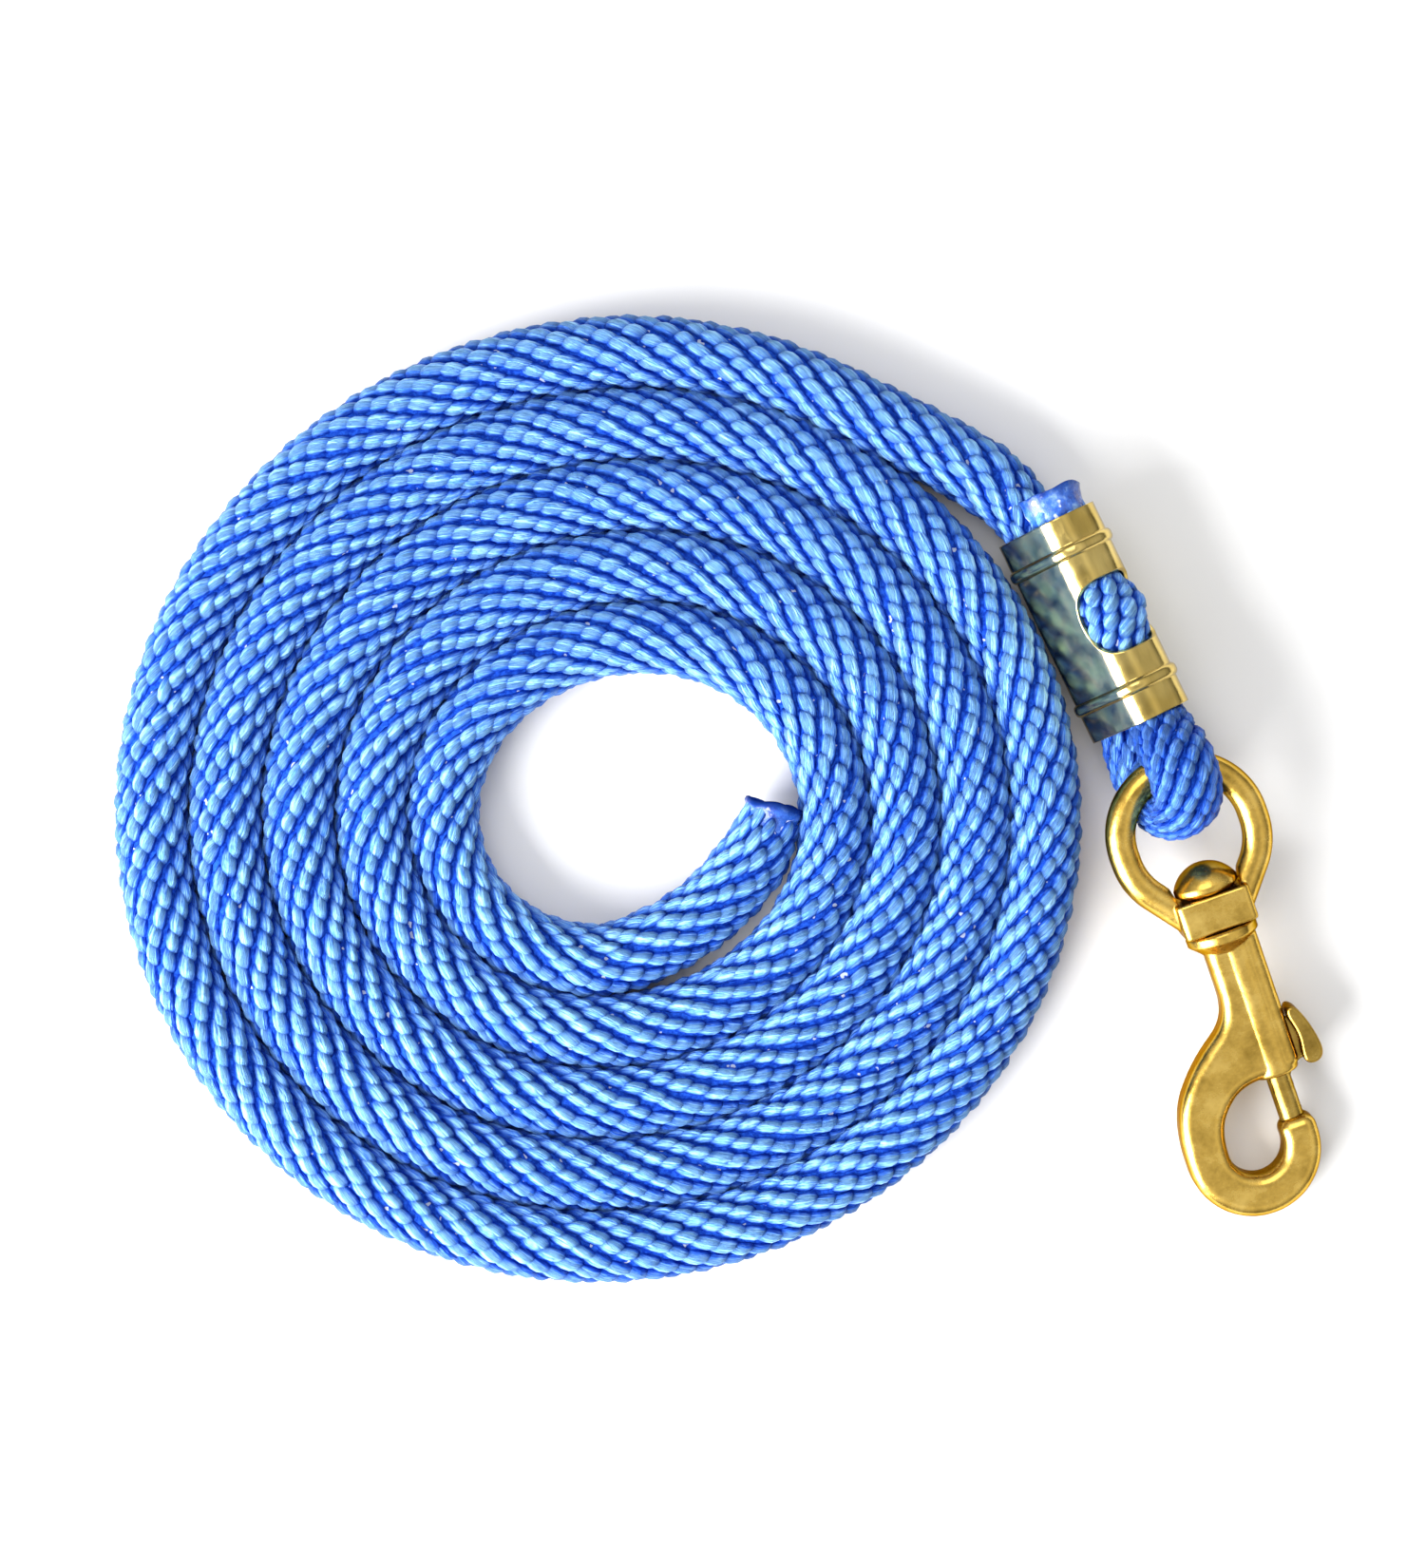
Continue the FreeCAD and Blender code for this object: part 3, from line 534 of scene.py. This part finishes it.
class Shader:
    """A small helper for node trees: a Principled shader and what feeds it."""

    def __init__(self, name, **values):
        self.material = bpy.data.materials.new(name)
        self.material.use_nodes = True
        self.tree = self.material.node_tree
        self.surface = self.tree.nodes["Principled BSDF"]
        for key, value in values.items():
            self.surface.inputs[key.replace("_", " ")].default_value = value

    def node(self, kind, inputs=None, **settings):
        item = self.tree.nodes.new(kind)
        for key, value in settings.items():
            setattr(item, key, value)
        for key, value in (inputs or {}).items():
            self.feed(item.inputs[key], value)
        return item

    def feed(self, socket, value):
        """Links a socket to another, or sets its plain value."""
        if isinstance(value, bpy.types.NodeSocket):
            self.tree.links.new(value, socket)
        else:
            socket.default_value = value

    def place(self):
        """Positions in metres, the same on every piece."""
        return self.node("ShaderNodeTexCoord").outputs["Object"]

    def facing(self, direction):
        """How squarely the surface, at rest, faces a direction or its opposite: 1 is fully."""
        normal = self.node("ShaderNodeTexCoord").outputs["Normal"]
        dot = self.node("ShaderNodeVectorMath", {0: normal, 1: direction}, operation="DOT_PRODUCT")
        return self.math("ABSOLUTE", dot.outputs["Value"])

    def stretched(self, vector, scale):
        """Coordinates scaled by a share for each axis."""
        mapping = self.node("ShaderNodeMapping", {"Vector": vector, "Scale": scale})
        return mapping.outputs["Vector"]

    def noise(self, vector, scale, detail=3.0, roughness=0.5):
        inputs = {"Vector": vector, "Scale": scale, "Detail": detail, "Roughness": roughness}
        return self.node("ShaderNodeTexNoise", inputs).outputs["Fac"]

    def ramp(self, factor, stops):
        """A colour for a value, by stops of (value, colour)."""
        item = self.node("ShaderNodeValToRGB", {"Fac": factor})
        ramp = item.color_ramp
        while len(ramp.elements) < len(stops):
            ramp.elements.new(0.5)
        for element, (position, colour) in zip(ramp.elements, stops):
            element.position = position
            element.color = (*colour, 1.0)
        return item.outputs["Color"]

    def span(self, factor, low, high, to_low=0.0, to_high=1.0):
        """A value carried from one range to another, and held at the ends."""
        inputs = {"Value": factor, "From Min": low, "From Max": high, "To Min": to_low, "To Max": to_high}
        return self.node("ShaderNodeMapRange", inputs).outputs["Result"]

    def math(self, operation, a, b=0.0):
        item = self.node("ShaderNodeMath", operation=operation)
        self.feed(item.inputs[0], a)
        self.feed(item.inputs[1], b)
        return item.outputs[0]

    def mix(self, factor, a, b):
        item = self.node("ShaderNodeMix", data_type="RGBA")
        self.feed(item.inputs[0], factor)
        self.feed(item.inputs[6], a if isinstance(a, bpy.types.NodeSocket) else (*a, 1.0))
        self.feed(item.inputs[7], b if isinstance(b, bpy.types.NodeSocket) else (*b, 1.0))
        return item.outputs[2]

    def attribute(self, name, output="Vector"):
        return self.node("ShaderNodeAttribute", attribute_name=name).outputs[output]

    def colour(self, socket):
        self.feed(self.surface.inputs["Base Color"], socket)

    def rough(self, socket):
        self.feed(self.surface.inputs["Roughness"], socket)

    def softened(self, radius):
        """A normal that rounds the piece's sharp edges over this radius."""
        return self.node("ShaderNodeBevel", {"Radius": radius}, samples=8).outputs["Normal"]

    def bump(self, height, distance, strength, normal=None):
        """Fine relief on the surface."""
        inputs = {"Height": height, "Distance": distance, "Strength": strength}
        if normal is not None:
            inputs["Normal"] = normal
        item = self.node("ShaderNodeBump", inputs)
        self.feed(self.surface.inputs["Normal"], item.outputs["Normal"])


# A noise's scale is per metre where it goes by place, so 400 gives patches of about 2.5 mm. Where it goes by
# strand it is per millimetre.
UPWARD = (0.0, 0.0, 1.0)

# The rope's blues, from painted shade in the gaps between stitches to the painted sheen of single fibres.
ROPE_GAP_SHADE = (0.002, 0.02, 0.27)
ROPE_BLUE = (0.02, 0.105, 0.62)
ROPE_LIGHT = (0.12, 0.33, 0.80)
ROPE_SHEEN = (0.38, 0.70, 0.97)
ROPE_SPECK = (0.42, 0.48, 0.62)
ROPE_TINT = (0.35, 0.85, 1.0, 1.0)
# How the patterns are stretched: along a stitch, round it, and from one stitch to the next.
FIBRE_GRAIN = (0.22, 1.7, 31.0)
FOLD_GRAIN = (0.3, 0.7, 17.0)


def rope_material():
    """Glossy filament yarn, with painted shade: deep blue in the gaps, paler on the crowns, and a painted
    sheen on its fibres.
    """
    shader = Shader("braided_rope", Specular_Tint=ROPE_TINT, IOR=1.6)
    strand = shader.attribute("strand")
    crown = shader.attribute("crown", "Fac")
    shader.feed(shader.surface.inputs["Specular IOR Level"], shader.span(crown, 0.15, 0.75, 0.02, 1.0))
    tone = shader.node("ShaderNodeSeparateXYZ", {"Vector": strand}).outputs["Z"]
    fibres = shader.noise(shader.stretched(strand, FIBRE_GRAIN), 1.0, 2.0, 0.6)
    # Painted shade: the colour runs from deep blue in the gaps and low on each stitch to pale on the crowns.
    base = shader.ramp(crown, [(0.3, ROPE_GAP_SHADE), (0.7, ROPE_BLUE), (0.97, ROPE_LIGHT)])
    shaded = shader.mix(shader.span(tone, 0, 1, 0.0, 0.22), base, ROPE_BLUE)
    # Furrows along each stitch, where the yarn's folds sink, are painted darker as shade, and fibres on its
    # crown get a painted sheen.
    folds = shader.noise(shader.stretched(strand, FOLD_GRAIN), 1.3, 2.0, 0.55)
    shaded = shader.mix(shader.span(folds, 0.36, 0.56, 0.75, 0.0), shaded, ROPE_BLUE)
    glinting = shader.span(fibres, 0.42, 0.62, 0.0, 0.75)
    glint = shader.math("MULTIPLY", glinting, shader.span(crown, 0.35, 0.9))
    streaked = shader.mix(glint, shaded, ROPE_SHEEN)
    # The core shows in the gaps as loose fibres with a few pale specks.
    inner = shader.math("LESS_THAN", tone, CORE_TONE / 2)
    deep_fibres = shader.span(shader.noise(shader.place(), 700, 3.0, 0.7), 0.4, 0.65)
    streaked = shader.mix(shader.math("MULTIPLY", inner, deep_fibres), streaked, ROPE_BLUE)
    specks = shader.span(shader.noise(shader.place(), 420, 1.0), 0.69, 0.71)
    shader.colour(shader.mix(shader.math("MULTIPLY", inner, specks), streaked, ROPE_SPECK))
    shader.rough(shader.span(fibres, 0.3, 0.7, 0.42, 0.6))
    height = shader.math("ADD", fibres, shader.math("MULTIPLY", folds, 0.8))
    shader.bump(height, 0.8 * MM, 1.0)
    return shader.material


MELT_DEEP = (0.004, 0.03, 0.26)
MELT_BLUE = (0.03, 0.14, 0.62)
MELT_LIGHT = (0.30, 0.52, 0.90)
MELT_GLINT = (0.72, 0.80, 0.95)
MELT_RIM = (0.004, 0.022, 0.16)


def melted_material():
    """Rope fibres melted together at a cut end, with painted glints."""
    shader = Shader("melted_rope", Coat_Roughness=0.08)
    place = shader.place()
    patches = shader.noise(place, 260, 4.0, 0.6)
    fused = shader.ramp(patches, [(0.34, MELT_DEEP), (0.55, MELT_BLUE), (0.74, MELT_LIGHT)])
    crown = shader.attribute("crown", "Fac")
    # Small pale spots are painted glints on the melted skin.
    painted_glints = shader.span(shader.noise(place, 330, 1.0), 0.62, 0.66, 0.0, 0.8)
    fused = shader.mix(painted_glints, fused, MELT_GLINT)
    shader.colour(shader.mix(crown, MELT_RIM, fused))
    shader.feed(shader.surface.inputs["Coat Weight"], shader.math("MULTIPLY", crown, 0.6))
    shader.feed(shader.surface.inputs["Specular IOR Level"], shader.math("MULTIPLY", crown, 0.5))
    shader.rough(shader.span(shader.noise(place, 500, 2.0), 0.3, 0.7, 0.12, 0.4))
    shader.bump(shader.noise(place, 420, 5.0, 0.65), 0.6 * MM, 0.7)
    return shader.material


BRASS = (0.70, 0.45, 0.09)
BRASS_DARK = (0.46, 0.28, 0.045)
BRASS_PALE = (0.86, 0.60, 0.16)
BRASS_SIDE_REFLECTION = (0.28, 0.16, 0.045)
BRASS_TINT = (0.55, 0.36, 0.12, 1.0)
BRASS_ROUNDING = 0.9 * MM
# The bolt gets a darker copy of the castings' brass, as painted shade.
BOLT_PAINTED_SHADE = 0.66


def cast_brass(name, shade):
    """Tumbled cast brass: satin, mottled, with small dents, and a painted dark reflection on its steep
    sides.
    """
    shader = Shader(name, Metallic=1.0, Specular_Tint=BRASS_TINT)
    place = shader.place()
    clouds = shader.noise(place, 85, 6.0, 0.72)
    grains = shader.noise(place, 900, 3.0, 0.6)
    tones = (BRASS_DARK, BRASS, BRASS_PALE)
    dark, plain, pale = [tuple(channel * shade for channel in tone) for tone in tones]
    tint = shader.ramp(clouds, [(0.3, dark), (0.5, plain), (0.7, pale)])
    # The steep sides are painted darker, as a painted dark reflection.
    painted_side_reflection = shader.span(shader.facing(UPWARD), 0.05, 0.6, 0.9, 0.0)
    shader.colour(shader.mix(painted_side_reflection, tint, BRASS_SIDE_REFLECTION))
    shader.rough(shader.span(clouds, 0.3, 0.7, 0.16, 0.34))
    dents = shader.noise(place, 240, 2.0, 0.4)
    height = shader.math("ADD", dents, shader.math("MULTIPLY", grains, 0.18))
    shader.bump(height, 0.35 * MM, 0.4, shader.softened(BRASS_ROUNDING))
    return shader.material


PLATE_DARK = (0.55, 0.39, 0.10)
PLATE_PALE = (0.72, 0.55, 0.19)
PLATE_BROAD = (0.80, 0.68, 0.38)
PLATE_STEEP_REFLECTION = (0.20, 0.12, 0.03)
PLATE_ROUNDING = 0.6 * MM


def plated_sheet():
    """Bright brass plated sheet steel: nearly a mirror, faintly wavy, paler on its broad sides, with a
    painted dark reflection on its steep faces.
    """
    shader = Shader("plated_sheet", Metallic=1.0)
    place = shader.place()
    waves = shader.noise(place, 75, 2.0)
    gold = shader.mix(shader.span(waves, 0.35, 0.65), PLATE_DARK, PLATE_PALE)
    broad = shader.span(shader.facing(tuple(CLAMP_TURN @ Vector(UPWARD))), 0.8, 0.97)
    plated = shader.mix(broad, gold, PLATE_BROAD)
    # Steep faces are painted dark brown, as a painted dark reflection.
    edge = shader.span(shader.facing(UPWARD), 0.05, 0.4, 0.85, 0.0)
    shader.colour(shader.mix(edge, plated, PLATE_STEEP_REFLECTION))
    shader.rough(shader.span(shader.noise(place, 300, 4.0), 0.3, 0.75, 0.12, 0.26))
    scratches = shader.noise(shader.stretched(place, (1.0, 1.0, 12.0)), 400, 2.0)
    height = shader.math("ADD", waves, shader.math("MULTIPLY", scratches, 0.03))
    shader.bump(height, 1.2 * MM, 0.6, shader.softened(PLATE_ROUNDING))
    return shader.material


STEEL_DARK = (0.36, 0.36, 0.37)
STEEL_PALE = (0.58, 0.57, 0.55)


def spring_steel():
    """Drawn spring wire, grey and a little dull."""
    shader = Shader("spring_steel", Metallic=1.0)
    place = shader.place()
    drawn = shader.noise(place, 1500, 3.0)
    shader.colour(shader.mix(drawn, STEEL_DARK, STEEL_PALE))
    shader.rough(shader.span(drawn, 0.3, 0.7, 0.25, 0.45))
    shader.bump(drawn, 0.05 * MM, 0.4)
    return shader.material


def repaint(node, material):
    """Gives a CAD node its finish."""
    slots = frame["nodes"][node].data.materials
    slots.clear()
    slots.append(material)


# ---------------------------------------------------------------- build: rope


# How far the two cuts lean, from the rope's middle to its edge.
END_SLOPE = 0.2 * MM
TAIL_SLOPE = 0.8 * MM
# Where each melted cap begins and stops: from the free end, and from the tail's end.
END_CAP = (-9 * MM, 0.3 * MM)
TAIL_CAP = (8.5 * MM, 0.2 * MM)
# Each cap's rings: share of the way to the cut, and radius in millimetres before the squeeze.
END_RINGS = [
    (0.0, 6.6), (0.3, 7.4), (0.6, 7.9), (0.74, 8.7), (0.9, 9.4),
    (1.0, 9.2), (1.02, 8.4), (0.98, 7.2), (0.93, 5.0), (0.92, 2.4),
]
TAIL_RINGS = [
    (0.0, 7.8), (0.2, 8.8), (0.5, 8.9), (0.8, 9.0), (0.95, 9.4),
    (1.0, 9.1), (1.01, 8.3), (0.96, 7.0), (0.9, 4.8), (0.88, 2.2),
]
CAP_SIDES = 40
# The melted skin's lumps, as a share of its radius, and how they turn along the rope.
CAP_LUMPS = 0.06
CAP_LUMP_TURN = 900
# The cut's edge waves three and five times round. Its slant grows to full over this share of the cap.
CAP_WAVE_THREE = 0.3 * MM
CAP_WAVE_FIVE = 0.25 * MM
CAP_SLANT_BY = 0.6
# The skin darkens into a rim from this share of the cap on, over this width.
RIM_FROM = 0.72
RIM_WIDTH = 0.2
END_RIM = 1.0
TAIL_RIM = 0.7


def melted_end(name, route, span, rings, slope, rim, random, material):
    """A lofted cap of melted fibres: rings along the rope's line, closed over the end, with a dark rim."""
    from_s, to_s = span
    angles = np.linspace(0, 2 * math.pi, CAP_SIDES, endpoint=False)
    shares = np.array([share for share, _ in rings])
    sizes = np.array([size for _, size in rings]) * MM
    s, a = np.meshgrid(from_s + (to_s - from_s) * shares, angles, indexing="ij")
    phases = random.random(6) * 2 * math.pi
    lumps = sum(np.cos(k * a + phases[k] + CAP_LUMP_TURN * s * (k % 3)) / (k + 1) for k in range(1, 6))
    radius = sizes[:, None] * (1 + CAP_LUMPS * lumps)
    waves = CAP_WAVE_THREE * np.cos(3 * a + phases[2])
    slant = slope * np.sin(a) + waves + CAP_WAVE_FIVE * np.cos(5 * a)
    drift = slant * np.clip(shares / CAP_SLANT_BY, 0, 1)[:, None] * (sizes / sizes.max())[:, None]
    points = route.place(s + drift, a, radius).reshape(-1, 3)
    points[:, 2] = np.maximum(points[:, 2], FLOOR_CLEARANCE)
    points, quads, fans = closed_tube(points, CAP_SIDES)
    if to_s < from_s:
        quads, fans = quads[:, ::-1], fans[:, ::-1]
    shade = 1 - rim * np.clip((np.maximum.accumulate(shares) - RIM_FROM) / RIM_WIDTH, 0, 1)
    crown = np.concatenate([np.repeat(shade, CAP_SIDES), shade[[0, -1]]])
    return mesh_object(name, points, quads, fans, material, crown=crown)


ROPE_SEED = 19


def build_rope():
    """The braided rope with its two melted ends, in place of the CAD's five plain solids."""
    random = np.random.default_rng(ROPE_SEED)
    line = spline_line("rope_route", rope_points())
    route = Route(line)
    points, quads, fans, strand, crown = braid(route, random)
    core_points, core_quads, core_fans = core(route)
    start = len(points)
    rope = mesh_object(
        "braided_rope",
        np.concatenate([points, core_points]),
        np.concatenate([quads, core_quads + start]),
        np.concatenate([fans, core_fans + start]),
        rope_material(),
        np.concatenate([strand, np.tile([0.0, 0.0, CORE_TONE], (len(core_points), 1))]),
        np.concatenate([crown, np.zeros(len(core_points))]))
    melted = melted_material()
    end_span = (route.length + END_CAP[0], route.length + END_CAP[1])
    free_end = melted_end(
        "melted_free_end", route, end_span, END_RINGS, END_SLOPE, END_RIM, random, melted)
    tail_end = melted_end(
        "melted_tail_end", route, TAIL_CAP, TAIL_RINGS, TAIL_SLOPE, TAIL_RIM, random, melted)
    for piece in (rope, free_end, tail_end):
        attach(piece, "root")
    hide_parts("rope_coil", "rope_lead", "rope_in_clamp", "rope_loop", "rope_tail")


# ---------------------------------------------------------------- build: spring


def build_spring():
    """The CAD's spring as a piece of its own in spring steel, carried with the snap's body."""
    node = frame["nodes"]["spring"]
    mesh = node.data.copy()
    mesh.transform(node.matrix_world)
    mesh.materials.clear()
    mesh.materials.append(spring_steel())
    item = bpy.data.objects.new("coil_spring", mesh)
    bpy.context.scene.collection.objects.link(item)
    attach(item, "snap")
    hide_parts("spring")
    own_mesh(item)


# ---------------------------------------------------------------- stage, light and camera

# The camera looks straight down, turned so that the snap hangs to the lower right.
VIEW_CENTRE = Vector((PULL.x - 0.1073, PULL.y + 0.0342, 9.5 * MM))
VIEW_TURN = math.radians(-19.5)
VIEW_DISTANCE = 1.2
VIEW_WIDTH = 0.357
SENSOR_WIDTH = 36.0
FAR_CLIP = 20


def from_view(right, up, height):
    """A point by its place in the picture, in metres from the middle, and its height above the floor."""
    turn = Matrix.Rotation(VIEW_TURN, 3, "Z")
    return Vector((VIEW_CENTRE.x, VIEW_CENTRE.y, height)) + turn @ Vector((right, up, 0))


def camera():
    """The camera, at the photo's angle."""
    data = bpy.data.cameras.new("camera")
    data.sensor_fit = "HORIZONTAL"
    data.sensor_width = SENSOR_WIDTH
    data.lens = SENSOR_WIDTH * VIEW_DISTANCE / VIEW_WIDTH
    data.clip_end = FAR_CLIP
    item = bpy.data.objects.new("camera", data)
    bpy.context.scene.collection.objects.link(item)
    item.location = VIEW_CENTRE + Vector((0, 0, VIEW_DISTANCE))
    item.rotation_euler = (0, 0, VIEW_TURN)
    bpy.context.scene.camera = item


def area_light(name, place, power, width):
    """A square white light that looks at the middle of the view."""
    data = bpy.data.lights.new(name, "AREA")
    data.energy = power
    data.size = width
    item = bpy.data.objects.new(name, data)
    item.location = place
    direction = VIEW_CENTRE - place
    item.rotation_euler = direction.to_track_quat("-Z", "Y").to_euler()
    bpy.context.scene.collection.objects.link(item)


# The floor's speckle, half its width, and how far it lies below the rope, so that they share no plane.
FLOOR_DARK = (0.79, 0.79, 0.79)
FLOOR_PALE = (0.81, 0.81, 0.81)
FLOOR_HALF = 2.5
FLOOR_SINK = 0.2 * MM
# The studio brightens from the horizon upwards: heights of the view direction, and strengths.
WORLD_HEIGHTS = (0.1, 0.9)
WORLD_STRENGTHS = (0.16, 1.12)
# Straight overhead, where the camera would stand, it is darker again, down to this share.
ZENITH_HEIGHTS = (0.8, 0.99)
ZENITH_SHARES = (1.0, 0.42)
# Lights: place in the picture and height in metres, power in watts, width in metres.
KEY_PLACE = (-0.9, -0.66, 0.55)
KEY_POWER = 64
KEY_WIDTH = 1.15
TOP_PLACE = (-0.2, 0.5, 1.2)
TOP_POWER = 6
TOP_WIDTH = 0.9


def pale_floor():
    """The plain pale floor under everything."""
    shader = Shader("pale_floor", Roughness=0.9)
    speckle = shader.noise(shader.place(), 40, 2.0)
    shader.colour(shader.mix(speckle, FLOOR_DARK, FLOOR_PALE))
    mesh = bpy.data.meshes.new("floor")
    corners = [(x * FLOOR_HALF, y * FLOOR_HALF, 0) for x, y in ((-1, -1), (1, -1), (1, 1), (-1, 1))]
    mesh.from_pydata(corners, [], [(0, 1, 2, 3)])
    mesh.materials.append(shader.material)
    floor = bpy.data.objects.new("floor", mesh)
    floor.location = (VIEW_CENTRE.x, VIEW_CENTRE.y, -FLOOR_SINK)
    bpy.context.scene.collection.objects.link(floor)


def world_range(tree, value, ends, to_ends):
    """A value of the world's nodes, carried from one range to another."""
    item = tree.nodes.new("ShaderNodeMapRange")
    tree.links.new(value, item.inputs["Value"])
    for key, number in zip(("From Min", "From Max", "To Min", "To Max"), (*ends, *to_ends)):
        item.inputs[key].default_value = number
    return item.outputs["Result"]


def studio_world():
    """A plain white studio, brighter above and darker straight overhead."""
    world = bpy.data.worlds.new("studio")
    bpy.context.scene.world = world
    world.use_nodes = True
    tree = world.node_tree
    split = tree.nodes.new("ShaderNodeSeparateXYZ")
    tree.links.new(tree.nodes.new("ShaderNodeTexCoord").outputs["Generated"], split.inputs["Vector"])
    dimmed = tree.nodes.new("ShaderNodeMath")
    dimmed.operation = "MULTIPLY"
    height = split.outputs["Z"]
    tree.links.new(world_range(tree, height, WORLD_HEIGHTS, WORLD_STRENGTHS), dimmed.inputs[0])
    tree.links.new(world_range(tree, height, ZENITH_HEIGHTS, ZENITH_SHARES), dimmed.inputs[1])
    background = tree.nodes["Background"]
    background.inputs["Color"].default_value = (1, 1, 1, 1)
    tree.links.new(dimmed.outputs["Value"], background.inputs["Strength"])


def stage():
    """Floor, background and lights."""
    pale_floor()
    bpy.context.scene.view_settings.view_transform = "Standard"
    studio_world()
    area_light("key", from_view(*KEY_PLACE), KEY_POWER, KEY_WIDTH)
    area_light("top", from_view(*TOP_PLACE), TOP_POWER, TOP_WIDTH)


# ---------------------------------------------------------------- everything in order

build_rope()
brass = cast_brass("cast_brass", 1.0)
for node in ("swivel_eye", "snap_body"):
    repaint(node, brass)
# The bolt gets a darker copy of the brass, as painted shade.
repaint("bolt", cast_brass("shaded_bolt_brass", BOLT_PAINTED_SHADE))
repaint("rope_clamp", plated_sheet())
build_spring()
stage()
camera()
